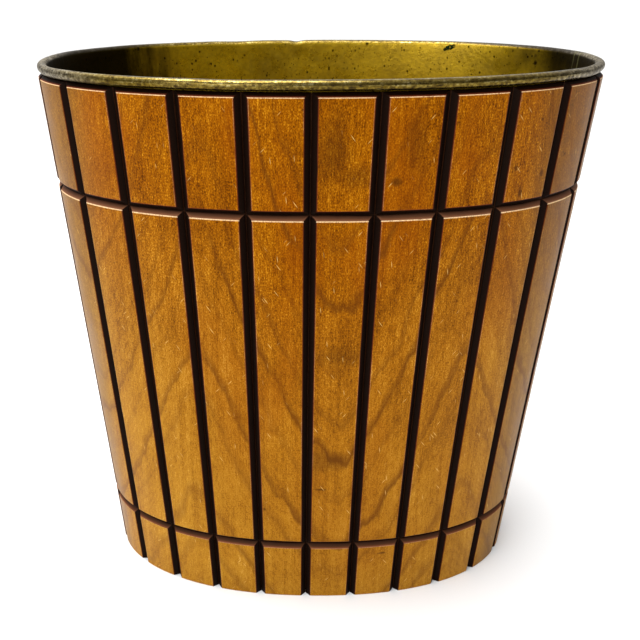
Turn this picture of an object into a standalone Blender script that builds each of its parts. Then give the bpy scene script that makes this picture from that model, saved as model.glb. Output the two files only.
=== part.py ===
"""Oval tapered wastebasket: a sheet-metal liner clad in twenty-four grooved wooden staves.

Metres, +Z up. +X runs along the long axis of the oval and -Y is the front.
The origin is on the floor, at the middle of the oval.

Every piece follows one wall, the face of the staves: an oval that shrinks evenly from the top
to the floor. A place on it is a fraction of the way round, from +X towards +Y, an inset into
the wall, and a height.
"""
import math

import bmesh
import bpy
import numpy as np
from mathutils import Matrix, Vector

# The wall that the staves' faces lie on
TOP_WIDTH = 0.337
TOP_DEPTH = 0.1956
OVAL_POWER = 2.2
FACE_TOP = 0.3302
BOTTOM_SCALE = 0.82

# Staves, and the V grooves between them and across them
STAVES = 24
SEAM_SHIFT = 0.784
WOOD_TOP = 0.3326
STAVE_THICKNESS = 0.0041
GROOVE_DEPTH = 0.0031
UPRIGHT_GROOVE_HALF = 0.0039
CROSS_GROOVE_HALF = 0.0030
UPPER_GROOVE_Z = 0.2667
LOWER_GROOVE_Z = 0.0426

# Metal and backing
SHEET = 0.0005
BEAD_RADIUS = 0.00286
BEAD_INSET = 0.0031
BEAD_Z = 0.3363
CURL_DEGREES = 300
CURL_STEPS = 11
BACKING_THICKNESS = 0.0004
BACKING_FOOT = 0.0015
BACKING_TOP = 0.3318
HEM_Z = 0.0010
HEM_TOP = 0.0060
PAN_LEDGE_Z = 0.0096
PAN_LEDGE_WIDTH = 0.0110
PAN_STEP_WIDTH = 0.0030
PAN_STEP_HEIGHT = 0.0014

GAP = 0.0003
CUTS_PER_STAVE = 4
STATIONS = STAVES * CUTS_PER_STAVE
OVAL_SAMPLES = 14400


def oval_round():
    """Distance round the top oval, as a fraction, with the points and the outward normals there."""
    turn = np.linspace(0.0, 2.0 * math.pi, OVAL_SAMPLES + 1)
    across = np.sign(np.cos(turn)) * np.abs(np.cos(turn)) ** (2.0 / OVAL_POWER)
    deep = np.sign(np.sin(turn)) * np.abs(np.sin(turn)) ** (2.0 / OVAL_POWER)
    points = np.stack([across * TOP_WIDTH / 2.0, deep * TOP_DEPTH / 2.0], axis=1)
    steps = np.linalg.norm(np.diff(points, axis=0), axis=1)
    run = np.concatenate([[0.0], np.cumsum(steps)])
    slope = OVAL_POWER - 1.0
    normals = np.stack([
        np.sign(across) * np.abs(across) ** slope / TOP_WIDTH,
        np.sign(deep) * np.abs(deep) ** slope / TOP_DEPTH,
    ], axis=1)
    normals /= np.linalg.norm(normals, axis=1)[:, None]
    return run / run[-1], points, normals, run[-1]


ROUND, OVAL_POINTS, OVAL_NORMALS, TOP_PERIMETER = oval_round()
PITCH = TOP_PERIMETER / STAVES


def wall_normal(fraction):
    """Level unit vector out of the wall."""
    part = fraction % 1.0
    return Vector((
        np.interp(part, ROUND, OVAL_NORMALS[:, 0]),
        np.interp(part, ROUND, OVAL_NORMALS[:, 1]),
        0.0,
    )).normalized()


def wall_point(fraction, inset, z):
    """Place on the wall, moved inwards by the inset."""
    part = fraction % 1.0
    scale = BOTTOM_SCALE + (1.0 - BOTTOM_SCALE) * z / FACE_TOP
    x = np.interp(part, ROUND, OVAL_POINTS[:, 0]) * scale
    y = np.interp(part, ROUND, OVAL_POINTS[:, 1]) * scale
    return Vector((x, y, z)) - wall_normal(fraction) * inset


def station(index):
    """Fraction of the way round at one of the evenly spaced stations. Every fourth is a seam."""
    return (index / CUTS_PER_STAVE + SEAM_SHIFT) / STAVES


def principled(name, colour, roughness, metallic=0.0):
    """Material with one Principled BSDF."""
    material = bpy.data.materials.new(name)
    material.use_nodes = True
    shader = material.node_tree.nodes["Principled BSDF"]
    shader.inputs["Base Color"].default_value = (*colour, 1.0)
    shader.inputs["Roughness"].default_value = roughness
    shader.inputs["Metallic"].default_value = metallic
    material.diffuse_color = (*colour, 1.0)
    return material


def add_object(bm, name, material, collection, place=None):
    """Closes off a bmesh as a named object; place, if given, is the object's own frame."""
    mesh = bpy.data.meshes.new(name)
    bm.to_mesh(mesh)
    bm.free()
    mesh.shade_smooth()
    mesh.set_sharp_from_angle(angle=math.radians(30))
    mesh.materials.append(material)
    obj = bpy.data.objects.new(name, mesh)
    collection.objects.link(obj)
    if place is not None:
        mesh.transform(place.inverted())
        obj.matrix_world = place
    return obj


def sheet_section(path, thickness):
    """Both sides of a bent sheet's section, from its middle line: right side first, then left."""
    points = [Vector(p) for p in path]
    ways = [(b - a).normalized() for a, b in zip(points, points[1:])]
    right, left = [], []
    for index, point in enumerate(points):
        before = ways[max(index - 1, 0)]
        after = ways[min(index, len(ways) - 1)]
        side = Vector((before.y + after.y, -before.x - after.x)).normalized()
        reach = thickness / 2.0 / side.dot(Vector((after.y, -after.x)))
        right.append(point + side * reach)
        left.append(point - side * reach)
    return right, left


def wall_rings(bm, section):
    """One ring of vertices round the oval for each (inset, z) of a section, skinned in order.

    The section runs up its outer side, so that the faces point out of the metal.
    """
    rings = []
    for inset, z in section:
        rings.append([bm.verts.new(wall_point(station(k), inset, z)) for k in range(STATIONS)])
    for low, high in zip(rings, rings[1:]):
        for k in range(STATIONS):
            after = (k + 1) % STATIONS
            bm.faces.new((low[k], low[after], high[after], high[k]))
    return rings


def join_rings(bm, first, last):
    """Faces between the last ring and the first, which close the section."""
    for k in range(STATIONS):
        after = (k + 1) % STATIONS
        bm.faces.new((last[k], last[after], first[after], first[k]))


def bead_path():
    """Middle line of the rim: the sheet curls outwards over the top and back under."""
    radius = BEAD_RADIUS - SHEET / 2.0
    angles = [math.radians(CURL_DEGREES) * step / CURL_STEPS for step in range(CURL_STEPS + 1)]
    return [(BEAD_INSET + radius * math.cos(a), BEAD_Z + radius * math.sin(a)) for a in angles]


WALL_INSET = BEAD_INSET + BEAD_RADIUS - SHEET / 2.0
PAN_INSET = WALL_INSET + SHEET + GAP
HEM_INSET = PAN_INSET + SHEET + GAP


def liner_shell(material, collection):
    """Tapered metal wall with a curled rim at the top and an inward hem at the foot."""
    path = [(HEM_INSET, HEM_TOP), (HEM_INSET, HEM_Z), (WALL_INSET, HEM_Z)] + bead_path()
    right, left = sheet_section(path, SHEET)
    bm = bmesh.new()
    rings = wall_rings(bm, left + right[::-1])
    join_rings(bm, rings[0], rings[-1])
    return add_object(bm, "liner_shell", material, collection)


def base_pan(material, collection):
    """Pressed oval bottom: a skirt held in the liner's hem, a ledge, and a raised middle panel."""
    foot = HEM_Z + SHEET / 2.0 + GAP
    ledge_end = PAN_INSET + PAN_LEDGE_WIDTH
    panel_edge = ledge_end + PAN_STEP_WIDTH
    panel_z = PAN_LEDGE_Z + PAN_STEP_HEIGHT
    path = [
        (PAN_INSET, foot),
        (PAN_INSET, PAN_LEDGE_Z),
        (ledge_end, PAN_LEDGE_Z),
        (panel_edge, panel_z),
        (panel_edge + PAN_STEP_WIDTH, panel_z),
    ]
    right, left = sheet_section(path, SHEET)
    bm = bmesh.new()
    rings = wall_rings(bm, right[::-1] + left)
    bm.faces.new(rings[0][::-1])
    bm.faces.new(rings[-1])
    return add_object(bm, "base_pan", material, collection)


def backing_sleeve(material, collection):
    """Thin dark sleeve that the staves are glued to, between them and the liner."""
    outer = STAVE_THICKNESS + GAP
    inner = outer + BACKING_THICKNESS
    section = [(outer, BACKING_FOOT), (outer, BACKING_TOP), (inner, BACKING_TOP), (inner, BACKING_FOOT)]
    bm = bmesh.new()
    rings = wall_rings(bm, section)
    join_rings(bm, rings[0], rings[-1])
    return add_object(bm, "backing_sleeve", material, collection)


def cut(bm, point, normal):
    """Divides every face that a plane crosses."""
    everything = list(bm.verts) + list(bm.edges) + list(bm.faces)
    bmesh.ops.bisect_plane(bm, geom=everything, dist=1e-7, plane_co=point, plane_no=normal)


def flat_stave():
    """Stave before it is bent: X across at the top's scale, Y from its back to its face, Z up.

    Seen from the front X runs to the left, which keeps X, Y and Z right-handed on the wall.

    A thin board is divided at the two cross grooves. Each of its three front faces is drawn out
    and in on all sides, so that the slopes left round the three tiles are the walls of the grooves.
    """
    web = STAVE_THICKNESS - GROOVE_DEPTH
    bm = bmesh.new()
    bmesh.ops.create_cube(bm, size=1.0)
    bmesh.ops.translate(bm, verts=bm.verts, vec=(0.0, 0.5, 0.5))
    bmesh.ops.scale(bm, verts=bm.verts, vec=(PITCH - GAP, web, WOOD_TOP))
    for z in (LOWER_GROOVE_Z, UPPER_GROOVE_Z):
        cut(bm, (0.0, 0.0, z), (0.0, 0.0, 1.0))
    bm.normal_update()
    fronts = [face for face in bm.faces if face.normal.y > 0.9]
    for tile in bmesh.ops.extrude_discrete_faces(bm, faces=fronts)["faces"]:
        low = min(vert.co.z for vert in tile.verts)
        for vert in tile.verts:
            vert.co.x -= math.copysign(UPRIGHT_GROOVE_HALF - GAP / 2.0, vert.co.x)
            vert.co.y += GROOVE_DEPTH
            if vert.co.z > WOOD_TOP - GAP:
                vert.co.z = FACE_TOP
            elif vert.co.z > low:
                vert.co.z -= CROSS_GROOVE_HALF
            elif low > 0.0:
                vert.co.z += CROSS_GROOVE_HALF
    for index in range(1, CUTS_PER_STAVE):
        x = (index / CUTS_PER_STAVE - 0.5) * PITCH
        cut(bm, (x, 0.0, 0.0), (1.0, 0.0, 0.0))
    return bm


def stave(index, material, collection):
    """Stave bent onto the wall, with its own origin at the middle of its foot."""
    middle = (index + 0.5 + SEAM_SHIFT) / STAVES
    bm = flat_stave()
    for vert in bm.verts:
        fraction = middle - vert.co.x / TOP_PERIMETER
        vert.co = wall_point(fraction, STAVE_THICKNESS - vert.co.y, vert.co.z)
    outwards = wall_normal(middle)
    turn = math.atan2(outwards.y, outwards.x) + math.pi / 2.0
    place = Matrix.Translation(wall_point(middle, STAVE_THICKNESS, 0.0)) @ Matrix.Rotation(turn, 4, "Z")
    return add_object(bm, f"stave_{index + 1:02d}", material, collection, place)


def main():
    for obj in list(bpy.data.objects):
        bpy.data.objects.remove(obj)
    collection = bpy.data.collections.new("wastebasket")
    bpy.context.scene.collection.children.link(collection)

    lacquered_metal = principled("gold_lacquered_steel", (0.30, 0.22, 0.06), 0.38, 0.9)
    pan_metal = principled("dull_steel", (0.20, 0.17, 0.10), 0.5, 0.9)
    black_paper = principled("black_backing", (0.02, 0.015, 0.01), 0.85)
    wood = principled("amber_wood", (0.45, 0.18, 0.03), 0.35)

    liner_shell(lacquered_metal, collection)
    base_pan(pan_metal, collection)
    backing_sleeve(black_paper, collection)
    for index in range(STAVES):
        stave(index, wood, collection)


main()
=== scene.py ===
"""Looks of an oval wastebasket: a worn gold-lacquered liner clad in grooved amber staves.

The staves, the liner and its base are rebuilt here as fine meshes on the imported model's wall: an
oval that shrinks evenly from the top to the floor. A place on the wall is a fraction of the way
round, from +X towards +Y, an inset into the wall, and a height, all in metres.
"""
import math

import bpy
import numpy as np
from mathutils import Matrix, Vector, noise


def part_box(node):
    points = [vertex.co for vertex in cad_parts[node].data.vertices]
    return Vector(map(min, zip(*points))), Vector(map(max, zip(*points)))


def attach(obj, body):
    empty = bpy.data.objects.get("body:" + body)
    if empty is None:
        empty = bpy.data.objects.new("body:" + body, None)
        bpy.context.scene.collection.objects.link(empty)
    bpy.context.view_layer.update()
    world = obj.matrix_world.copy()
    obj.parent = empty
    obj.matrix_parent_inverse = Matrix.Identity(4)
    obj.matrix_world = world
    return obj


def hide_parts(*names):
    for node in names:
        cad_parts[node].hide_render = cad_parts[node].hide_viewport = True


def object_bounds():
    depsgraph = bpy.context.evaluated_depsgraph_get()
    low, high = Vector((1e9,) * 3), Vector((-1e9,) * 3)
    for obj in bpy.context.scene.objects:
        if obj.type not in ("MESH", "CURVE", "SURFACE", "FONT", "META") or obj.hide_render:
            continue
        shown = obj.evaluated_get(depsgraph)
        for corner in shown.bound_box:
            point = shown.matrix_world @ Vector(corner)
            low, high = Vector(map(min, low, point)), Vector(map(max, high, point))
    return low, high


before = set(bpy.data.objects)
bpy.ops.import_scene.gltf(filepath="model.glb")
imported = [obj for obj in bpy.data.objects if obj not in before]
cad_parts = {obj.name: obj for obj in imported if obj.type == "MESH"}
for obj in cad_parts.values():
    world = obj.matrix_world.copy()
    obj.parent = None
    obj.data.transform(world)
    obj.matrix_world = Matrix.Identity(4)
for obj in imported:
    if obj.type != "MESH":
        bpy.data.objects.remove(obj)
cad_low, cad_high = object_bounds()

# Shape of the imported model
FACE_TOP = 0.3302
BOTTOM_SCALE = 0.82
OVAL_POWER = 2.2
BEAD_RADIUS = 0.00286
BEAD_INSET = 0.0031
SHEET = 0.0005
STAVES = 24
SEAM_SHIFT = 0.784
STAVE_THICKNESS = 0.0041
GROOVE_DEPTH = 0.0031
UPRIGHT_GROOVE_HALF = 0.0039
CROSS_GROOVE_HALF = 0.0030
UPPER_GROOVE_Z = 0.2667
LOWER_GROOVE_Z = 0.0426
GAP = 0.0003
TOP_WIDTH = 0.337
TOP_DEPTH = 0.1956
WOOD_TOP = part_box("stave_01")[1].z
BEAD_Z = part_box("liner_shell")[1].z - BEAD_RADIUS
PAN_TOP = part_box("base_pan")[1].z


# ---------------------------------------------------------------- the wall

def oval_round(samples=14400):
    """Distance round the top oval, as a fraction, with the points, the normals and the length."""
    turn = np.linspace(0.0, 2.0 * math.pi, samples + 1)
    across = np.sign(np.cos(turn)) * np.abs(np.cos(turn)) ** (2.0 / OVAL_POWER)
    deep = np.sign(np.sin(turn)) * np.abs(np.sin(turn)) ** (2.0 / OVAL_POWER)
    points = np.stack([across * TOP_WIDTH / 2.0, deep * TOP_DEPTH / 2.0], axis=1)
    run = np.concatenate([[0.0], np.cumsum(np.linalg.norm(np.diff(points, axis=0), axis=1))])
    slope = OVAL_POWER - 1.0
    normals = np.stack([
        np.sign(across) * np.abs(across) ** slope / TOP_WIDTH,
        np.sign(deep) * np.abs(deep) ** slope / TOP_DEPTH,
    ], axis=1)
    normals /= np.linalg.norm(normals, axis=1)[:, None]
    return run / run[-1], points, normals, run[-1]


ROUND, OVAL_POINTS, OVAL_NORMALS, PERIMETER = oval_round()
PITCH = PERIMETER / STAVES


def wall_points(fraction, inset, z):
    """Places on the wall for arrays of fractions, insets and heights."""
    part = np.mod(fraction, 1.0)
    scale = BOTTOM_SCALE + (1.0 - BOTTOM_SCALE) * z / FACE_TOP
    nx = np.interp(part, ROUND, OVAL_NORMALS[:, 0])
    ny = np.interp(part, ROUND, OVAL_NORMALS[:, 1])
    length = np.hypot(nx, ny)
    x = np.interp(part, ROUND, OVAL_POINTS[:, 0]) * scale - nx / length * inset
    y = np.interp(part, ROUND, OVAL_POINTS[:, 1]) * scale - ny / length * inset
    return np.stack([x, y, z * np.ones_like(x)], axis=-1)


def rough(x, y, z):
    """Smooth noise from -1 to 1 for arrays of places."""
    flat = np.stack(np.broadcast_arrays(x, y, z), axis=-1)
    values = [noise.noise(Vector(place)) for place in flat.reshape(-1, 3)]
    return np.array(values).reshape(flat.shape[:-1])


def smooth_min(a, b, width):
    """The lower of two surfaces, with the crease between them rounded over a width."""
    overlap = np.maximum(width - np.abs(a - b), 0.0)
    return np.minimum(a, b) - overlap * overlap / (4.0 * width)


def make_mesh(name, points, faces, slots, materials):
    """Smooth-shaded object from points and faces, each face in one of the material slots."""
    mesh = bpy.data.meshes.new(name)
    mesh.from_pydata([tuple(p) for p in points], [], faces)
    mesh.polygons.foreach_set("material_index", slots)
    mesh.shade_smooth()
    for material in materials:
        mesh.materials.append(material)
    obj = bpy.data.objects.new(name, mesh)
    bpy.context.scene.collection.objects.link(obj)
    return obj


def give(obj, name, values, domain="POINT"):
    """Stores a vector for each point or face corner, which the materials read by name."""
    layer = obj.data.attributes.new(name, "FLOAT_VECTOR", domain)
    layer.data.foreach_set("vector", np.ascontiguousarray(values, dtype=np.float32).ravel())


# ---------------------------------------------------------------- node helpers

class Graph:
    """Short names for building one material's nodes."""

    def __init__(self, name):
        self.material = bpy.data.materials.new(name)
        self.material.use_nodes = True
        self.tree = self.material.node_tree
        self.shader = self.tree.nodes["Principled BSDF"]

    def put(self, socket, value):
        if isinstance(value, bpy.types.NodeSocket):
            self.tree.links.new(value, socket)
        elif value is not None:
            socket.default_value = value

    def node(self, kind, **settings):
        made = self.tree.nodes.new(kind)
        for key, value in settings.items():
            setattr(made, key, value)
        return made

    def math(self, operation, a, b=None, c=None, clamp=False):
        made = self.node("ShaderNodeMath", operation=operation, use_clamp=clamp)
        for socket, value in zip(made.inputs, (a, b, c)):
            self.put(socket, value)
        return made.outputs[0]

    def attribute(self, name):
        return self.node("ShaderNodeAttribute", attribute_name=name).outputs["Vector"]

    def object_place(self):
        return self.node("ShaderNodeTexCoord").outputs["Object"]

    def split(self, vector):
        made = self.node("ShaderNodeSeparateXYZ")
        self.put(made.inputs[0], vector)
        return made.outputs[0], made.outputs[1], made.outputs[2]

    def join(self, x, y, z):
        made = self.node("ShaderNodeCombineXYZ")
        for socket, value in zip(made.inputs, (x, y, z)):
            self.put(socket, value)
        return made.outputs[0]

    def stretch(self, vector, scale, shift=(0.0, 0.0, 0.0), turn=0.0):
        made = self.node("ShaderNodeMapping")
        self.put(made.inputs["Vector"], vector)
        made.inputs["Scale"].default_value = scale
        made.inputs["Location"].default_value = shift
        made.inputs["Rotation"].default_value = (0.0, 0.0, turn)
        return made.outputs[0]

    def noise(self, vector, scale=1.0, detail=2.0, rough=0.5):
        made = self.node("ShaderNodeTexNoise")
        self.put(made.inputs["Vector"], vector)
        made.inputs["Scale"].default_value = scale
        made.inputs["Detail"].default_value = detail
        made.inputs["Roughness"].default_value = rough
        return made.outputs["Fac"]

    def cells(self, vector, scale=1.0):
        made = self.node("ShaderNodeTexVoronoi")
        self.put(made.inputs["Vector"], vector)
        made.inputs["Scale"].default_value = scale
        return made.outputs["Distance"], made.outputs["Color"]

    def band(self, value, low, high, out_low=0.0, out_high=1.0):
        """Maps low..high to out_low..out_high, clamped, with smooth ends."""
        made = self.node("ShaderNodeMapRange", interpolation_type="SMOOTHSTEP")
        for socket, number in zip(made.inputs, (value, low, high, out_low, out_high)):
            self.put(socket, number)
        return made.outputs[0]

    def ramp(self, value, stops):
        made = self.node("ShaderNodeValToRGB")
        self.put(made.inputs[0], value)
        elements = made.color_ramp.elements
        while len(elements) < len(stops):
            elements.new(0.5)
        for element, (place, colour) in zip(elements, stops):
            element.position = place
            element.color = (*colour, 1.0)
        return made.outputs[0]

    def mix(self, amount, a, b):
        made = self.node("ShaderNodeMix", data_type="RGBA")
        self.put(made.inputs[0], amount)
        for socket, value in ((made.inputs[6], a), (made.inputs[7], b)):
            self.put(socket, (*value, 1.0) if isinstance(value, tuple) else value)
        return made.outputs[2]

    def bump(self, height, distance, strength):
        made = self.node("ShaderNodeBump")
        self.put(made.inputs["Height"], height)
        made.inputs["Distance"].default_value = distance
        made.inputs["Strength"].default_value = strength
        return made.outputs[0]


def srgb(red, green, blue):
    """Linear colour for a colour given in the usual 0 to 255 steps."""
    return tuple((c / 255.0 / 12.92) if c <= 10 else ((c / 255.0 + 0.055) / 1.055) ** 2.4
                 for c in (red, green, blue))


# ---------------------------------------------------------------- staves

BACK_COLUMNS = 5
MILLIMETRES = 1000.0
ARRIS_ROUND = 0.00042
ARRIS_ROUND_RANGE = 0.00022
MITRE_ROUND = 0.0003
CROSS_ROUND = 0.0001
CROWN = 0.00010
FACE_DROP = 0.00004
NICK_DEPTH = 0.0016
NICK_REACH = 0.0009
FOOT_CHAMFER = 0.0003
FOOT_SLOPE = 1.4
EDGE_BAND = 0.0008
LEAVES = 2
LEAF_WIDTH = PERIMETER / LEAVES
LEAF_START = (SEAM_SHIFT + 11.0) / STAVES
SHEET_RADIUS = math.hypot(FACE_TOP / (1.0 - BOTTOM_SCALE), 0.13)
FIGURE_AXIS = 0.5 * PITCH
WITHIN = 0.99999


def spaced(stops):
    """Sample places through (place, count) stretches, each count spread up to the next place."""
    places = [np.linspace(a, b, count, endpoint=False) for (a, count), (b, _) in zip(stops, stops[1:])]
    return np.concatenate(places + [[stops[-1][0]]])


def across_lines(half):
    """Sample places across a stave: close together on the groove walls and the arrises."""
    arris = half - UPRIGHT_GROOVE_HALF + GAP / 2.0
    side = [(arris - 0.0012, 3), (arris - 0.0004, 6), (arris + 0.0008, 4), (half, 1)]
    right = spaced([(0.0, 5)] + side)
    return np.concatenate([-right[:0:-1], right])


def up_lines():
    """Sample places up a stave, close together at the cross grooves, the top edge and the foot."""
    stops = [(0.0, 2), (0.0004, 2), (0.0014, 5)]
    for groove, tile_rows in ((LOWER_GROOVE_Z, 22), (UPPER_GROOVE_Z, 8)):
        low = groove - CROSS_GROOVE_HALF
        high = groove + CROSS_GROOVE_HALF
        stops += [(low - 0.0012, 3), (low - 0.0004, 6), (low + 0.0008, 4), (groove, 4)]
        stops += [(high - 0.0008, 6), (high + 0.0004, 3), (high + 0.0012, tile_rows)]
    stops += [(FACE_TOP - 0.0012, 3), (FACE_TOP - 0.0004, 6), (FACE_TOP + 0.0008, 3), (WOOD_TOP, 1)]
    return spaced(stops)


def stave_height(x, z, half, seed):
    """Thickness of a stave at a place on its front: tiles with sloping, slightly worn edges."""
    web = STAVE_THICKNESS - GROOVE_DEPTH
    side = web + (half - np.abs(x)) * GROOVE_DEPTH / (UPRIGHT_GROOVE_HALF - GAP / 2.0)
    slope = GROOVE_DEPTH / CROSS_GROOVE_HALF
    lower = web + np.abs(z - LOWER_GROOVE_Z) * slope
    upper = web + np.abs(z - UPPER_GROOVE_Z) * slope
    top = web + (WOOD_TOP - z) * GROOVE_DEPTH / (WOOD_TOP - FACE_TOP)
    foot = STAVE_THICKNESS - FOOT_CHAMFER + z * FOOT_SLOPE
    wear = ARRIS_ROUND + ARRIS_ROUND_RANGE * rough(x * 90.0, z * 60.0, seed)
    nick = np.maximum(rough(x * 300.0, z * 170.0, seed + 5.0) - 0.52, 0.0) * NICK_DEPTH
    crown = CROWN * (x / half) ** 2 - FACE_DROP * rough(x * 60.0, z * 18.0, seed + 9.0)
    height = STAVE_THICKNESS - FACE_DROP - np.maximum(crown, -FACE_DROP)
    crossing = smooth_min(lower, upper, CROSS_ROUND)
    walls = smooth_min(crossing, smooth_min(top, side, MITRE_ROUND), MITRE_ROUND)
    near_edge = np.clip(1.0 - np.abs(walls - height) / NICK_REACH, 0.0, 1.0)
    height = smooth_min(height, walls, wear) - nick * near_edge
    return np.maximum(smooth_min(height, foot, MITRE_ROUND), web)


def sheet_place(fraction, z):
    """Where a place on the wall lay in the flat sheet of veneer, and which leaf of veneer that is."""
    turns = np.mod(fraction - LEAF_START, 1.0)
    leaf = np.floor(turns * LEAVES)
    along = (turns * LEAVES - leaf - 0.5) * LEAF_WIDTH - FIGURE_AXIS
    scale = BOTTOM_SCALE + (1.0 - BOTTOM_SCALE) * z / FACE_TOP
    angle = along / SHEET_RADIUS
    across = SHEET_RADIUS * scale * np.sin(angle)
    up = SHEET_RADIUS * (scale * np.cos(angle) - BOTTOM_SCALE)
    return across, up, leaf


def in_groove(x, z, half):
    """Whether a place on a stave lies past an arris, on a stained surface."""
    side = half - UPRIGHT_GROOVE_HALF + GAP / 2.0
    cross = min(abs(z - LOWER_GROOVE_Z), abs(z - UPPER_GROOVE_Z))
    return abs(x) > side or cross < CROSS_GROOVE_HALF or z > FACE_TOP


def stave_faces(xs, zs, height, half):
    """Faces of a stave and their material slots: its front and back grids, its sides and its ends.

    A square of the front is cut along the diagonal that follows the crease of a mitre.
    """
    columns, rows = len(xs), len(zs)
    last = BACK_COLUMNS - 1

    def front(row, column):
        return row * columns + column

    def back(row, column):
        return columns * rows + row * BACK_COLUMNS + column

    faces, slots = [], []
    for row in range(rows - 1):
        above = row + 1
        for column in range(columns - 1):
            a, b = front(row, column), front(row, column + 1)
            c, d = front(above, column + 1), front(above, column)
            levels = [height.flat[corner] for corner in (a, b, c, d)]
            if levels[0] + levels[2] >= levels[1] + levels[3] - 1e-7:
                faces += [(a, b, c), (a, c, d)]
            else:
                faces += [(a, b, d), (b, c, d)]
            middle = (xs[column] + xs[column + 1]) / 2.0, (zs[row] + zs[above]) / 2.0
            slots += [int(in_groove(*middle, half))] * 2
        faces.append((front(row, columns - 1), back(row, last),
                      back(above, last), front(above, columns - 1)))
        faces.append((back(row, 0), front(row, 0), front(above, 0), back(above, 0)))
        for column in range(last):
            faces.append((back(row, column + 1), back(row, column),
                          back(above, column), back(above, column + 1)))
        slots += [1] * (2 + last)
    ends = []
    for row in (0, rows - 1):
        ends.append([front(row, c) for c in range(columns)] + [back(row, c) for c in range(last, -1, -1)])
    return faces + [ends[0][::-1], ends[1]], slots + [0, 1]


def arris_distances(x, z, half):
    """How far, in millimetres, the nearest upright arris and the nearest upward-facing one are.

    The lower cross groove and the top edge get less of this lightening, so their arrises count as further
    off.
    """
    side = half - np.abs(x) - UPRIGHT_GROOVE_HALF + GAP / 2.0
    cross = np.full_like(z, 1.0)
    for arris, spared in ((LOWER_GROOVE_Z - CROSS_GROOVE_HALF, 0.0003),
                          (UPPER_GROOVE_Z - CROSS_GROOVE_HALF, 0.0), (FACE_TOP, 0.0001)):
        near = np.where(z < arris + EDGE_BAND, np.abs(arris - z) + spared, 1.0)
        cross = np.minimum(cross, near)
    return side * MILLIMETRES, cross * MILLIMETRES


def build_stave(index, materials):
    """One stave with worn arrises, mitred grooves, a back and square ends."""
    middle = (index + 0.5 + SEAM_SHIFT) / STAVES
    half = (PITCH - GAP) / 2.0
    xs, zs = across_lines(half), up_lines()
    x, z = np.meshgrid(xs, zs)
    height = stave_height(x, z, half, index * 7.3)
    front = wall_points(middle + x / PERIMETER, STAVE_THICKNESS - height, z).reshape(-1, 3)
    back_x, back_z = np.meshgrid(np.linspace(-half, half, BACK_COLUMNS), zs)
    deep = np.full_like(back_x, STAVE_THICKNESS)
    back = wall_points(middle + back_x / PERIMETER, deep, back_z).reshape(-1, 3)
    faces, slots = stave_faces(xs, zs, height, half)
    obj = make_mesh(f"wood_{index + 1:02d}", np.concatenate([front, back]), faces, slots, materials)
    obj.data.set_sharp_from_angle(angle=math.radians(50))

    all_x = np.concatenate([x.ravel(), back_x.ravel()])
    all_z = np.concatenate([z.ravel(), back_z.ravel()])
    depth = np.concatenate([(STAVE_THICKNESS - height).ravel(), deep.ravel()])
    within_stave = middle + all_x / PERIMETER * WITHIN
    give(obj, "veneer", np.stack(sheet_place(within_stave, all_z), axis=-1))
    side, cross = arris_distances(all_x, all_z, half)
    give(obj, "groove", np.stack([depth / GROOVE_DEPTH, side, cross], axis=-1))
    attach(obj, "root")
    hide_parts(f"stave_{index + 1:02d}")


RICH_TONES = (
    (0.0, srgb(62, 26, 0)),
    (0.28, srgb(104, 51, 0)),
    (0.5, srgb(134, 73, 0)),
    (0.72, srgb(156, 92, 2)),
    (1.0, srgb(200, 136, 24)),
)
PALE_TONES = (
    (0.0, srgb(98, 57, 8)),
    (0.28, srgb(137, 87, 13)),
    (0.5, srgb(164, 112, 23)),
    (0.72, srgb(178, 127, 36)),
    (1.0, srgb(206, 160, 74)),
)
LEAF_SPACING = 3.7
WAVE_SPACING = 0.0052
FIGURE_REACH = 0.020
FIGURE_WAIST = 0.014
FIGURE_SPREAD = 0.160
FIELD_LOW = -0.12
FIELD_HIGH = 0.36
# Place in the figure and strength of each latewood line
RING_LINES = ((-0.062, 0.5), (-0.035, 0.7), (0.018, 0.5), (0.041, 0.95), (0.078, 0.35), (0.107, 1.0),
              (0.134, 0.55), (0.172, 0.35), (0.209, 0.95), (0.248, 0.6))
# Across, up, half width, half height and strength of each stain, knot, pin hole and cut
SMUDGES = ((-0.006, 0.302, 0.010, 0.022, 0.55), (0.007, 0.290, 0.015, 0.008, 0.50),
           (0.037, 0.306, 0.006, 0.018, 0.42), (0.028, 0.286, 0.0035, 0.0025, 0.75),
           (0.002, 0.181, 0.016, 0.007, 0.40), (-0.003, 0.108, 0.016, 0.008, 0.45),
           (0.096, 0.287, 0.0012, 0.0022, 0.80), (0.115, 0.281, 0.0014, 0.0028, 0.80),
           (0.101, 0.272, 0.0014, 0.0026, 0.85), (0.110, 0.312, 0.0010, 0.0010, 0.80),
           (0.133, 0.288, 0.0011, 0.0011, 0.80), (-0.042, 0.070, 0.0011, 0.0011, 0.75),
           (0.034, 0.034, 0.0030, 0.0009, 0.80), (-0.007, 0.087, 0.0042, 0.0008, 0.70))


class Veneer:
    """Places in the sheet of veneer, and the noises that its colour, bump and wear share."""

    def __init__(self, g):
        self.across, self.up, self.leaf = g.split(g.attribute("veneer"))
        self.place = g.join(self.across, self.up, g.math("MULTIPLY", self.leaf, LEAF_SPACING))
        self.fibre = g.noise(g.stretch(self.place, (1100.0, 150.0, 1.0)), detail=4.0, rough=0.7)
        self.fleck = g.noise(g.stretch(self.place, (2000.0, 900.0, 1.0), (1.0, 7.0, 0.0)), detail=2.0)
        broad = g.stretch(self.place, (34.0, 20.0, 1.0), (2.0, 9.0, 0.0))
        self.blotch = g.noise(broad, detail=3.0, rough=0.6)


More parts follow.
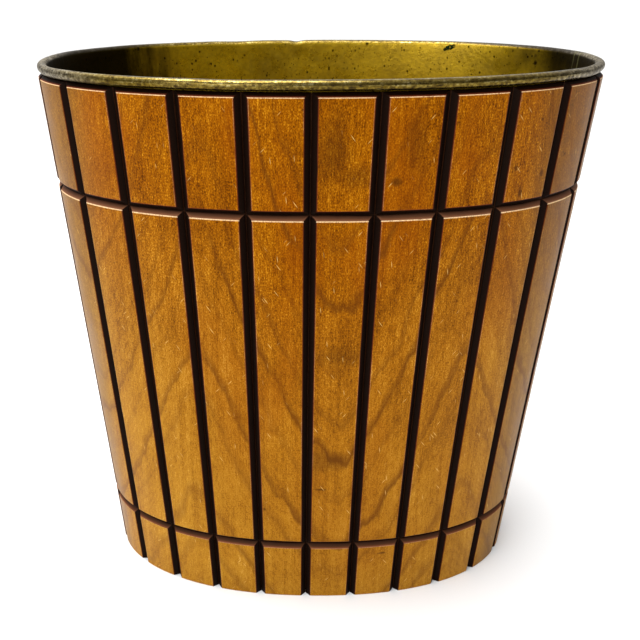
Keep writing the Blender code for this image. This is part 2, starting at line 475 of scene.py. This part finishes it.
def grain_tone(g, veneer, field):
    """Light and dark of the grain from 0 to 1: fine fibres, long streaks, blotches and growth waves."""
    streak = g.noise(g.stretch(veneer.place, (240.0, 9.0, 1.0), (5.0, 2.0, 0.0)), detail=3.0, rough=0.6)
    fine = g.math("MULTIPLY_ADD", veneer.fibre, 1.25, -0.625)
    fine = g.math("ADD", fine, g.math("MULTIPLY_ADD", veneer.fleck, 1.45, -0.725))
    tone = g.math("MULTIPLY_ADD", fine, g.band(veneer.up, 0.05, 0.27, 0.70, 1.12), 0.5)
    for layer in (streak, veneer.blotch):
        tone = g.math("ADD", g.math("MULTIPLY_ADD", layer, 0.62, -0.31), tone)
    waves = g.math("SINE", g.math("MULTIPLY", field, 2.0 * math.pi / WAVE_SPACING))
    return g.math("MULTIPLY_ADD", waves, 0.035, tone, clamp=True)


def wood_colour(g, veneer):
    """Amber veneer: rich above and faded towards the foot, with growth lines, stains and pores."""
    across, up, place = veneer.across, veneer.up, veneer.place
    slow = g.noise(g.stretch(place, (9.0, 5.0, 1.0)), detail=2.0)
    wavy = g.noise(g.stretch(place, (75.0, 22.0, 1.0), (3.0, 1.0, 0.0)), detail=3.0, rough=0.6)
    field = figure_field(g, veneer, slow, wavy)
    tone = grain_tone(g, veneer, field)
    aged = g.noise(g.stretch(place, (26.0, 9.0, 1.0), (11.0, 4.0, 0.0)), detail=2.0, rough=0.5)
    rich = g.mix(g.band(aged, 0.48, 0.66, 0.0, 0.34), g.ramp(tone, RICH_TONES), srgb(138, 64, 0))
    faded = g.math("MULTIPLY_ADD", up, -3.6, 0.86)
    faded = g.math("ADD", faded, g.math("MULTIPLY", g.math("MULTIPLY", across, across), 24.0))
    faded = g.math("ADD", faded, g.math("MULTIPLY_ADD", slow, 0.8, -0.4), clamp=True)
    base = g.mix(faded, rich, g.ramp(tone, PALE_TONES))
    # Painted shade: the outermost columns, where the wall turns away to the sides, are darkened, a little
    # off centre.
    outer = g.band(g.math("ABSOLUTE", g.math("ADD", across, 0.02)), 0.118, 0.144, 0.0, 0.5)
    base = g.mix(outer, base, srgb(94, 66, 22))
    lines = g.math("MULTIPLY", growth_lines(g, veneer, field), 0.85)
    base = g.mix(lines, base, srgb(88, 42, 4))
    base = g.mix(smudges(g, across, up, wavy), base, srgb(66, 30, 4))
    pores = g.math("MULTIPLY", g.band(veneer.fibre, 0.36, 0.27), g.band(up, 0.24, 0.12, 0.15, 0.5))
    return g.mix(pores, base, srgb(84, 44, 8))


def figure_field(g, veneer, slow, wavy):
    """Height of the nested arches: level lines dip at the axis of the figure and climb beside it."""
    x = g.math("ADD", veneer.across, g.math("MULTIPLY_ADD", slow, 0.036, -0.018))
    x = g.math("ABSOLUTE", g.math("ADD", x, g.math("MULTIPLY", veneer.leaf, 0.024)))
    x = g.math("SMOOTH_MIN", x, g.math("SUBTRACT", FIGURE_SPREAD, x), 0.03)
    x = g.math("MULTIPLY", x, 1.0 / FIGURE_WAIST)
    rise = g.math("SUBTRACT", g.math("SQRT", g.math("MULTIPLY_ADD", x, x, 1.0)), 1.0)
    reach = g.math("MULTIPLY_ADD", veneer.up, 0.060, FIGURE_REACH)
    field = g.math("SUBTRACT", veneer.up, g.math("MULTIPLY", rise, reach))
    field = g.math("ADD", field, g.math("MULTIPLY_ADD", wavy, 0.026, -0.013))
    return g.math("ADD", field, g.math("MULTIPLY", veneer.leaf, 0.019))


def growth_lines(g, veneer, field):
    """Dark latewood lines of the figure: sharp below, fading upwards, faint here and there."""
    reach = FIELD_HIGH - FIELD_LOW
    stops = []
    for place, strength in RING_LINES:
        for away, level in ((-0.0035, 0.0), (0.0005, strength), (0.0085, 0.0)):
            stops.append(((place + away - FIELD_LOW) / reach, (level,) * 3))
    part = g.math("MULTIPLY_ADD", field, 1.0 / reach, -FIELD_LOW / reach)
    fade = g.band(veneer.blotch, 0.32, 0.54, 0.35, 1.0)
    fade = g.math("MULTIPLY", fade, g.band(g.math("ABSOLUTE", veneer.across), 0.055, 0.085, 1.0, 0.7))
    return g.math("MULTIPLY", g.split(g.ramp(part, stops))[0], fade)


def smudges(g, across, up, wavy):
    """Soft dark stains, a small knot, pin holes and cuts on the best seen side of the basket."""
    bend = g.math("MULTIPLY_ADD", wavy, 1.6, -0.8)
    total = 0.0
    for x, z, wide, tall, strength in SMUDGES:
        u = g.math("MULTIPLY_ADD", across, 1.0 / wide, -x / wide)
        v = g.math("MULTIPLY_ADD", up, 1.0 / tall, -z / tall)
        far = g.math("SQRT", g.math("ADD", g.math("MULTIPLY", u, u), g.math("MULTIPLY", v, v)))
        far = g.math("ADD", far, bend)
        total = g.math("MAXIMUM", g.band(far, 1.4, 0.2, 0.0, strength), total)
    return total


def scratches(g, place):
    """Sparse short pale scratches in the lacquer."""
    total = 0.0
    for turn, scale, keep, shift in ((0.95, (80.0, 900.0, 1.0), 0.950, 0.0),
                                     (-0.85, (100.0, 1000.0, 1.0), 0.955, 7.0),
                                     (1.45, (90.0, 900.0, 1.0), 0.965, 4.0)):
        turned = g.stretch(place, (1.0, 1.0, 1.0), turn=turn)
        distance, colour = g.cells(g.stretch(turned, scale, (shift, shift, 0.0)))
        chance = g.split(colour)[0]
        kept = g.band(chance, keep, keep + 0.01)
        mark = g.math("MULTIPLY", g.band(distance, 0.04, 0.24, 1.0, 0.0), kept)
        total = g.math("MAXIMUM", mark, total)
    return total


def wood_material():
    """Amber lacquered face of the tiles."""
    g = Graph("amber_lacquered_wood")
    veneer = Veneer(g)
    _, side, cross = g.split(g.attribute("groove"))
    worn = arris_wear_and_highlight(g, veneer, side, cross)
    colour = wood_colour(g, veneer)
    colour = g.mix(g.math("MULTIPLY", scratches(g, veneer.place), 0.75), colour, srgb(232, 188, 104))
    # Worn arrises, and a painted highlight along the upward-facing ones, in pale bare wood.
    colour = g.mix(g.math("MULTIPLY", worn, 0.9), colour, srgb(250, 212, 156))
    g.put(g.shader.inputs["Base Color"], colour)
    g.put(g.shader.inputs["Roughness"], g.band(veneer.blotch, 0.3, 0.7, 0.36, 0.48))
    g.shader.inputs["Specular IOR Level"].default_value = 0.12
    g.shader.inputs["Specular Tint"].default_value = (1.0, 0.55, 0.12, 1.0)
    height = g.math("MULTIPLY_ADD", veneer.fibre, 0.7, g.math("MULTIPLY", veneer.fleck, 0.3))
    g.put(g.shader.inputs["Normal"], g.bump(height, 0.00008, 0.6))
    return g.material


def arris_wear_and_highlight(g, veneer, side, cross):
    """Lightening of the arrises, most along the upward edges and in places on the upright ones: lacquer
    worn off in patches, and a painted highlight on the upward edges, where light falls from above.

    side and cross are the millimetres to the nearest upright and upward arris.
    """
    sharp = g.band(cross, 0.50, 0.05)
    upright = g.math("MULTIPLY", g.band(side, 0.35, 0.0), g.band(veneer.blotch, 0.42, 0.62, 0.0, 0.30))
    patchy = g.band(veneer.fleck, 0.32, 0.56, 0.35, 1.0)
    return g.math("MULTIPLY", g.math("MAXIMUM", sharp, upright), patchy)


def groove_material():
    """Dark stain on the groove walls, red near the arris, with painted light: the upward-facing walls
    paler, most on the upper ledge.
    """
    g = Graph("dark_stained_groove")
    veneer = Veneer(g)
    depth, _, cross = g.split(g.attribute("groove"))
    height = g.split(g.object_place())[2]
    # Painted light: walls that face up take the paler, redder end of the stain.
    upward = g.band(g.split(g.node("ShaderNodeNewGeometry").outputs["Normal"])[2], 0.40, 0.60)
    shallow = g.math("MULTIPLY", depth, g.band(upward, 0.0, 1.0, 1.0, 0.42))
    edge = g.math("ADD", shallow, g.math("MULTIPLY_ADD", veneer.fleck, 0.05, -0.025))
    stained = g.ramp(edge, (
        (0.0, srgb(128, 64, 26)), (0.05, srgb(104, 44, 16)), (0.11, srgb(74, 28, 10)),
        (0.17, srgb(19, 6, 2)), (0.93, srgb(11, 4, 2)), (0.99, srgb(52, 28, 14))))
    lit_ledge_colour = g.ramp(g.math("MULTIPLY_ADD", veneer.blotch, 0.4, g.math("ADD", depth, -0.2)), (
        (0.0, srgb(184, 134, 94)), (0.15, srgb(126, 82, 56)), (0.70, srgb(92, 58, 40)),
        (0.95, srgb(14, 7, 4))))
    # Painted highlight on the ledge: upward-facing walls of the upper cross groove go pale pinkish, half as
    # much at the lower groove, none near the top.
    ledge = g.math("MULTIPLY", upward, g.band(height, 0.12, 0.20, 0.5, 1.0))
    ledge = g.math("MULTIPLY", ledge, g.band(height, FACE_TOP - 0.008, FACE_TOP - 0.006, 1.0, 0.0))
    colour = g.mix(g.math("MULTIPLY", ledge, 0.9), stained, lit_ledge_colour)
    # Worn arrises, and a painted highlight along the upward-facing ones.
    worn = g.math("MULTIPLY", arris_wear_and_highlight(g, veneer, 1.0, cross), g.band(depth, 0.16, 0.08))
    colour = g.mix(g.math("MULTIPLY", worn, 0.9), colour, srgb(250, 216, 168))
    g.put(g.shader.inputs["Base Color"], colour)
    g.put(g.shader.inputs["Roughness"], g.band(veneer.fleck, 0.2, 0.8, 0.45, 0.65))
    g.shader.inputs["Specular IOR Level"].default_value = 0.05
    g.shader.inputs["Specular Tint"].default_value = (1.0, 0.75, 0.60, 1.0)
    g.put(g.shader.inputs["Normal"], g.bump(veneer.fibre, 0.0001, 0.7))
    return g.material


# ---------------------------------------------------------------- liner and base

RINGS_ROUND = 480
CHIP_ALONG = 0.1178
CHIP_Z = 0.3349
CHIP_LENGTH = 0.0050
CHIP_HEIGHT = 0.0019
LAP = 0.018
LAP_HALF = 0.0030
LAP_STEP = 0.00035
SHEET_WAVE = 0.00025
RIM_DROP = 0.00012
RIM_WAVE = 0.00008
CURL_DEGREES = 300.0
CURL_STEPS = 34
WALL_STEPS = 34
HEM_TOP = 0.0060
WALL_FOOT = 0.0120
PAN_LEDGE_WIDTH = 0.0110
PAN_STEP_WIDTH = 0.0030
PAN_STEP_HEIGHT = 0.0014
PAN_CORNER = 0.0016
# Place round the top, half width and depth of each dent in the bead
DENTS = ((0.262, 0.004, 0.0009), (0.31, 0.012, 0.0004), (0.70, 0.02, 0.00035), (0.93, 0.01, 0.0004),
         (0.55, 0.015, 0.0003))


def ring_mesh(name, section, materials, wobble, closed):
    """Skin round the oval through (inset, z) pairs that run up the outer side.

    wobble gives how far each point moves in and up. An open section is closed with flat ends.
    """
    inset = np.array([p[0] for p in section])[:, None]
    z = np.array([p[1] for p in section])[:, None]
    around = (LAP + np.arange(RINGS_ROUND) / RINGS_ROUND)[None, :]
    inwards, upwards = wobble(around, inset, z)
    points = wall_points(around + 0.0 * inset, inset + inwards, z + upwards)
    rows = len(section)
    faces, corners = [], []
    for row in range(rows if closed else rows - 1):
        above = (row + 1) % rows
        for k in range(RINGS_ROUND):
            after = (k + 1) % RINGS_ROUND
            faces.append((row * RINGS_ROUND + k, row * RINGS_ROUND + after,
                          above * RINGS_ROUND + after, above * RINGS_ROUND + k))
            for level, step in ((row, k), (row, k + 1), (above, k + 1), (above, k)):
                along = (LAP + step / RINGS_ROUND) * PERIMETER
                corners.append((along, section[level][1], section[level][0]))
    if not closed:
        for level, way in ((0, -1), (rows - 1, 1)):
            faces.append([level * RINGS_ROUND + k for k in range(RINGS_ROUND)][::way])
            corners += [(0.0, section[level][1], section[level][0])] * RINGS_ROUND
    obj = make_mesh(name, points.reshape(-1, 3), faces, [0] * len(faces), materials)
    give(obj, "metal", corners, "CORNER")
    return obj


def sheet_sides(path, thickness):
    """Outer side of a bent sheet's section, then its inner side back."""
    points = [Vector(p) for p in path]
    ways = [(b - a).normalized() for a, b in zip(points, points[1:])]
    inner, outer = [], []
    for index, point in enumerate(points):
        before = ways[max(index - 1, 0)]
        after = ways[min(index, len(ways) - 1)]
        side = Vector((before.y + after.y, -before.x - after.x)).normalized()
        reach = thickness / 2.0 / side.dot(Vector((after.y, -after.x)))
        inner.append(tuple(point + side * reach))
        outer.append(tuple(point - side * reach))
    return outer, inner


def near_turn(around, place):
    """Distance round the top, in metres, from a place given as a fraction."""
    return (np.mod(around - place + 0.5, 1.0) - 0.5) * PERIMETER


def liner_wobble(around, inset, z):
    """Slow waves in the sheet, dents in the bead, and the step of the lapped side seam."""
    x, y = np.cos(2 * math.pi * around), np.sin(2 * math.pi * around)
    free = np.clip((z - 0.02) / 0.05, 0.0, 1.0) * np.clip((BEAD_Z - 0.012 - z) / 0.03, 0.0, 1.0)
    inner = inset > BEAD_INSET + BEAD_RADIUS - 0.0003
    waves = rough(x * 2.2, y * 2.2, z * 9.0 + 0.0 * x) * SHEET_WAVE * free
    lap = np.abs(near_turn(around, LAP)) < LAP_HALF
    step = lap * inner * (z > WALL_FOOT + 0.001) * (z < BEAD_Z) * LAP_STEP
    rim = 1.0 * (z > BEAD_Z - BEAD_RADIUS * 1.05)
    dent = 0.0
    for place, wide, deep in DENTS:
        dent = dent + deep * np.exp(-(near_turn(around, place) / wide) ** 2)
    upwards = -rim * (dent + RIM_DROP * (1.0 + rough(x * 6.0, y * 6.0, 4.0 + 0.0 * z)))
    worn_in = RIM_DROP + 0.4 * dent + RIM_WAVE * rough(x * 9.0, y * 9.0, 8.0 + 0.0 * z)
    return waves + step + rim * worn_in, upwards


def build_liner(material):
    """Metal liner: hem, tapered wall and the curled bead of the rim."""
    radius = BEAD_RADIUS - SHEET / 2.0
    wall = BEAD_INSET + radius
    hem = wall + 2.0 * (SHEET + GAP)
    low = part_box("liner_shell")[0].z + SHEET / 2.0
    curl = [math.radians(CURL_DEGREES) * k / CURL_STEPS for k in range(CURL_STEPS + 1)]
    path = [(hem, HEM_TOP), (hem, low), (wall, low)]
    path += [(wall, z) for z in np.linspace(WALL_FOOT, BEAD_Z - 0.004, WALL_STEPS)]
    path += [(BEAD_INSET + radius * math.cos(a), BEAD_Z + radius * math.sin(a)) for a in curl]
    outer, inner = sheet_sides(path, SHEET)
    obj = ring_mesh("metal_liner", outer + inner[::-1], [material], liner_wobble, True)
    obj.data.set_sharp_from_angle(angle=math.radians(50))
    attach(obj, "root")
    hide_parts("liner_shell")


def still(around, inset, z):
    return 0.0 * around * inset, 0.0 * around * z


def build_pan(material):
    """Pressed base: skirt, rounded corner, ledge and raised panel."""
    wall = BEAD_INSET + BEAD_RADIUS + SHEET / 2.0 + GAP
    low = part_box("base_pan")[0].z
    ledge = PAN_TOP - PAN_STEP_HEIGHT - SHEET / 2.0
    path = [(wall, low)]
    for k in range(7):
        a = math.radians(15.0 * k)
        path.append((wall + PAN_CORNER * (1.0 - math.cos(a)), ledge - PAN_CORNER * (1.0 - math.sin(a))))
    step = wall + PAN_LEDGE_WIDTH
    for k in range(9):
        t = k / 8.0
        rise = PAN_STEP_HEIGHT * (3.0 * t * t - 2.0 * t ** 3)
        path.append((step + PAN_STEP_WIDTH * t, ledge + rise))
    path.append((step + 2.0 * PAN_STEP_WIDTH, ledge + PAN_STEP_HEIGHT))
    outer, inner = sheet_sides(path, SHEET)
    obj = ring_mesh("metal_base", inner[::-1] + outer, [material], still, False)
    obj.data.set_sharp_from_angle(angle=math.radians(50))
    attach(obj, "root")
    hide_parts("base_pan")


class Metal:
    """Places on the liner, and the noises that its colour, bump and wear share."""

    def __init__(self, g):
        self.place = g.object_place()
        self.across, self.deep, _ = g.split(self.place)
        self.ring = g.attribute("metal")
        self.along, self.z, self.inset = g.split(self.ring)
        self.fine = g.noise(self.place, 420.0, 3.0, 0.6)
        self.grime_and_shade = g.noise(self.place, 120.0, 4.0, 0.65)
        self.pebble = g.noise(self.place, 520.0, 4.0, 0.65)


def chip_mask(g, metal):
    """A slanting chip in the lacquer, just under the rim at the back."""
    along = g.math("MULTIPLY_ADD", metal.along, 1.0 / CHIP_LENGTH, -CHIP_ALONG / CHIP_LENGTH)
    up = g.math("MULTIPLY_ADD", metal.z, 1.0 / CHIP_HEIGHT, -CHIP_Z / CHIP_HEIGHT)
    up = g.math("MULTIPLY_ADD", along, 1.1, up)
    far = g.math("ADD", g.math("MULTIPLY", along, along), g.math("MULTIPLY", up, up))
    return g.band(g.math("MULTIPLY_ADD", metal.fine, 4.5, far), 3.4, 2.7)


def painted_end_shade(g, metal):
    """Painted shade: black inside both ends of the oval, with a streaky edge on the left and an edge on the
    right that leans with height.
    """
    streaks = g.noise(g.stretch(metal.ring, (90.0, 14.0, 0.0)), 1.0, 4.0, 0.6)
    left = g.band(g.math("MULTIPLY_ADD", streaks, 0.05, metal.across), -0.062, -0.100)
    leaning = g.math("MULTIPLY_ADD", metal.z, 0.6, g.math("MULTIPLY_ADD", streaks, 0.02, metal.across))
    return g.math("MAXIMUM", left, g.band(leaning, 0.337, 0.370))


def inside_colour(g, metal, rust, chip, grime_and_shade):
    """Clouded gold lacquer with rust and the chip, and painted shade blackening both ends."""
    cloud = g.noise(metal.place, 38.0, 4.0, 0.6)
    gold = g.ramp(cloud, ((0.3, srgb(140, 112, 2)), (0.5, srgb(168, 136, 4)), (0.7, srgb(184, 150, 10))))
    gold = g.mix(g.band(metal.fine, 0.35, 0.7, 0.0, 0.35), gold, srgb(104, 82, 2))
    colour = g.mix(g.math("MULTIPLY", rust, 0.92), gold, srgb(34, 18, 3))
    colour = g.mix(chip, colour, srgb(10, 20, 8))
    # Painted shade: both ends of the inside are darkened to near black.
    return g.mix(g.math("MULTIPLY", grime_and_shade, 0.96), colour, srgb(7, 6, 2))


def bead_colour(g, metal, lift):
    """Worn brass and steel of the rim, greyer at the ends, with painted shade: darker and browner on its
    outer underside, and dark on its inner side at the back.
    """
    ridge = g.noise(g.stretch(metal.ring, (70.0, 900.0, 900.0)), 1.0, 5.0, 0.65)
    patchy = g.math("MULTIPLY_ADD", metal.pebble, 0.5, g.math("MULTIPLY", ridge, 0.5))
    worn = g.ramp(patchy, ((0.34, srgb(46, 35, 12)), (0.45, srgb(84, 68, 24)),
                           (0.54, srgb(110, 94, 42)), (0.66, srgb(158, 146, 106))))
    # Painted shade: the outer lower half of the bead is turned a darker olive.
    under = g.band(metal.z, BEAD_Z + 0.0004, BEAD_Z - 0.0010)
    under = g.math("MULTIPLY", under, g.band(lift, 0.0008, 0.0002))
    underside_shade_olive = g.ramp(metal.pebble, (
        (0.38, srgb(40, 28, 2)), (0.52, srgb(84, 66, 8)), (0.64, srgb(124, 104, 34))))
    worn = g.mix(g.math("MULTIPLY", under, 0.75), worn, underside_shade_olive)
    outwards = g.math("ABSOLUTE", metal.across)
    grey = g.ramp(metal.pebble, (
        (0.35, srgb(46, 39, 28)), (0.5, srgb(104, 95, 76)), (0.66, srgb(162, 154, 136))))
    worn = g.mix(g.math("MULTIPLY", g.band(outwards, 0.11, 0.155), 0.85), worn, grey)
    # Painted shade: the inner side of the bead at the back, towards both ends, is darkened, standing for
    # shade and the dark reflection of the inside.
    far_side = g.math("MULTIPLY", g.band(metal.deep, 0.0, 0.03), g.band(outwards, 0.085, 0.13))
    inner = g.band(metal.inset, BEAD_INSET - 0.0006, BEAD_INSET + 0.0012, 0.35, 1.0)
    inner_rim_shade = g.math("MULTIPLY", far_side, inner)
    worn = g.mix(g.math("MULTIPLY", inner_rim_shade, 0.9), worn, srgb(24, 19, 12))
    pits = g.band(g.noise(g.stretch(metal.ring, (330.0, 800.0, 800.0)), 1.0, 3.0, 0.6), 0.58, 0.66)
    return g.mix(g.math("MULTIPLY", pits, 0.85), worn, srgb(34, 24, 8))


def liner_material():
    """Gold lacquer, olive and speckled with rust inside, worn through to grey steel on the bead, with
    painted shade inside both ends.
    """
    g = Graph("worn_gold_lacquer")
    metal = Metal(g)
    lift = g.band(metal.inset, BEAD_INSET - 0.0006, BEAD_INSET + 0.0010, 0.0, BEAD_RADIUS * 1.45)
    bead = g.math("SUBTRACT", metal.z, lift)
    bead = g.band(bead, BEAD_Z - BEAD_RADIUS * 1.2, BEAD_Z - BEAD_RADIUS * 0.85)
    # The end mask is painted shade inside both ends of the oval; the inner half of the bead takes the
    # inside colour, so it is shaded there too.
    rust, chip, grime_and_shade = rust_specks(g, metal), chip_mask(g, metal), painted_end_shade(g, metal)
    colour = g.mix(bead, inside_colour(g, metal, rust, chip, grime_and_shade), bead_colour(g, metal, lift))
    # Painted highlight along both edges of the side seam.
    colour = g.mix(seam_highlights(g, metal.along), colour, srgb(118, 116, 74))
    g.put(g.shader.inputs["Base Color"], colour)
    dark = g.math("MAXIMUM", grime_and_shade, g.math("MAXIMUM", rust, chip))
    metallic = g.math("MULTIPLY_ADD", dark, 0.4, g.math("MULTIPLY_ADD", bead, 0.25, 0.65), clamp=True)
    g.put(g.shader.inputs["Metallic"], metallic)
    dull = g.math("MULTIPLY_ADD", bead, -0.08, g.band(metal.grime_and_shade, 0.3, 0.7, 0.24, 0.38))
    g.put(g.shader.inputs["Roughness"], g.math("MULTIPLY_ADD", grime_and_shade, 0.25, dull))
    height = g.math("MULTIPLY_ADD", metal.fine, 0.6, g.math("MULTIPLY", metal.pebble, 0.6))
    height = g.math("MULTIPLY", height, g.math("MULTIPLY_ADD", bead, -0.5, 1.0))
    g.put(g.shader.inputs["Normal"], g.bump(height, 0.0003, 0.5))
    return g.material


def seam_highlights(g, along):
    """Painted highlights: thin bright lines along both edges of the lapped side seam."""
    first = g.math("ABSOLUTE", g.math("SUBTRACT", along, LAP * PERIMETER))
    last = g.math("ABSOLUTE", g.math("SUBTRACT", along, (LAP + 1.0) * PERIMETER))
    away = g.math("ABSOLUTE", g.math("SUBTRACT", g.math("MINIMUM", first, last), LAP_HALF))
    return g.band(away, 0.0007, 0.0003, 0.0, 0.5)


def rust_specks(g, metal):
    """Rust spots of three sizes, in clusters."""
    total = 0.0
    for scale, wide, keep in ((150.0, 0.26, 0.90), (380.0, 0.34, 0.84), (800.0, 0.40, 0.88)):
        distance, colour = g.cells(g.stretch(metal.place, (1.0, 1.0, 0.75), (3.0, 5.0, 1.0)), scale)
        kept = g.band(g.split(colour)[0], keep, keep + 0.02)
        spot = g.math("MULTIPLY", g.band(distance, 0.4 * wide, wide, 1.0, 0.0), kept)
        total = g.math("MAXIMUM", spot, total)
    return g.math("MULTIPLY", total, g.band(metal.grime_and_shade, 0.34, 0.48))


def pan_material():
    """Dull gold lacquer with water stains, for the base."""
    g = Graph("dull_gold_base")
    place = g.object_place()
    cloud = g.noise(place, 26.0, 5.0, 0.6)
    fine = g.noise(place, 380.0, 3.0, 0.6)
    colour = g.ramp(cloud, ((0.32, srgb(70, 52, 12)), (0.5, srgb(120, 98, 22)), (0.66, srgb(146, 122, 36))))
    colour = g.mix(g.band(fine, 0.5, 0.72, 0.0, 0.6), colour, srgb(46, 28, 8))
    g.put(g.shader.inputs["Base Color"], colour)
    g.shader.inputs["Metallic"].default_value = 0.85
    g.put(g.shader.inputs["Roughness"], g.band(cloud, 0.3, 0.7, 0.5, 0.36))
    g.put(g.shader.inputs["Normal"], g.bump(fine, 0.0002, 0.5))
    return g.material


def backing_material():
    """Black cloth with a fine weave."""
    g = Graph("black_cloth")
    place = g.object_place()
    weave = g.noise(g.stretch(place, (1.0, 1.0, 0.35)), 1800.0, 2.0, 0.5)
    g.put(g.shader.inputs["Base Color"], g.mix(g.band(weave, 0.4, 0.6), srgb(16, 10, 8), srgb(34, 24, 18)))
    g.shader.inputs["Roughness"].default_value = 0.85
    g.put(g.shader.inputs["Normal"], g.bump(weave, 0.0002, 0.6))
    return g.material


# ---------------------------------------------------------------- studio

FLOOR_RADIUS = 12.0
FLOOR_SIDES = 96
# Axis of the direction, where the fade starts and ends on it, and the strengths there
ROOM_FADES = (
    (1, -0.55, 0.60, 0.35, 1.0),
    (2, 0.0, 0.90, 0.40, 2.45),
    (0, -0.4, 0.9, 1.08, 0.55),
)
LIGHTS_AIM = (0.0, 0.0, 0.2)
CAMERA_PLACE = (-0.0343, -0.5159, 0.4015)
CAMERA_YAW = -0.015
CAMERA_PITCH = 0.356
CAMERA_ROLL = -0.007


def build_floor():
    """Wide pale disc, level with the foot of the basket."""
    around = [2.0 * math.pi * k / FLOOR_SIDES for k in range(FLOOR_SIDES)]
    points = [(FLOOR_RADIUS * math.cos(a), FLOOR_RADIUS * math.sin(a), cad_low.z) for a in around]
    g = Graph("pale_floor")
    mottle = g.noise(g.object_place(), 6.0, 3.0, 0.5)
    g.put(g.shader.inputs["Base Color"], g.mix(mottle, (0.87, 0.87, 0.87), (0.90, 0.90, 0.90)))
    g.shader.inputs["Roughness"].default_value = 0.9
    floor = make_mesh("floor", points, [list(range(FLOOR_SIDES))], [0], [g.material])


def area_light(name, place, size, power):
    """Soft rectangular white light aimed at the basket."""
    data = bpy.data.lights.new(name, "AREA")
    data.shape = "RECTANGLE"
    data.size, data.size_y = size
    data.energy = power
    light = bpy.data.objects.new(name, data)
    light.location = place
    light.rotation_euler = (Vector(LIGHTS_AIM) - Vector(place)).to_track_quat("-Z", "Y").to_euler()
    bpy.context.scene.collection.objects.link(light)


def build_studio():
    """White room, dimmer low down, in front and on the right, with soft lights above and in front."""
    world = bpy.data.worlds.new("white_room")
    bpy.context.scene.world = world
    world.use_nodes = True
    tree = world.node_tree
    way = tree.nodes.new("ShaderNodeTexCoord").outputs["Generated"]
    split = tree.nodes.new("ShaderNodeSeparateXYZ")
    tree.links.new(way, split.inputs[0])
    fades = []
    for axis, *limits in ROOM_FADES:
        fade = tree.nodes.new("ShaderNodeMapRange")
        fade.interpolation_type = "SMOOTHSTEP"
        for number, value in zip(fade.inputs[1:], limits):
            number.default_value = value
        tree.links.new(split.outputs[axis], fade.inputs[0])
        fades.append(fade.outputs[0])
    strength = fades[0]
    for fade in fades[1:]:
        product = tree.nodes.new("ShaderNodeMath")
        product.operation = "MULTIPLY"
        tree.links.new(strength, product.inputs[0])
        tree.links.new(fade, product.inputs[1])
        strength = product.outputs[0]
    tree.links.new(strength, tree.nodes["Background"].inputs["Strength"])
    tree.nodes["Background"].inputs["Color"].default_value = (1.0, 1.0, 1.0, 1.0)
    area_light("overhead", (-0.3, -0.1, 1.6), (1.0, 0.8), 27.0)
    area_light("front_left", (-0.80, -1.80, 0.80), (1.1, 1.1), 15.0)


def build_camera():
    """Camera just above the rim, close in, turned slightly and looking down at the middle."""
    place = Matrix.Rotation(-CAMERA_YAW, 3, "Z") @ Vector(CAMERA_PLACE)
    data = bpy.data.cameras.new("camera")
    data.sensor_width = 36.0
    data.lens = 46.75
    data.shift_x = 0.0896
    data.shift_y = -0.10
    camera = bpy.data.objects.new("camera", data)
    look = Matrix.Rotation(-CAMERA_YAW, 4, "Z") @ Matrix.Rotation(math.pi / 2.0 - CAMERA_PITCH, 4, "X")
    camera.matrix_world = Matrix.Translation(place) @ look @ Matrix.Rotation(CAMERA_ROLL, 4, "Z")
    data.clip_start = 0.01
    bpy.context.scene.collection.objects.link(camera)
    bpy.context.scene.camera = camera


build_camera()
build_studio()
build_floor()
wood = [wood_material(), groove_material()]
for stave_index in range(STAVES):
    build_stave(stave_index, wood)
build_liner(liner_material())
build_pan(pan_material())
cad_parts["backing_sleeve"].data.materials.clear()
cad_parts["backing_sleeve"].data.materials.append(backing_material())
bpy.context.scene.view_settings.view_transform = "Standard"
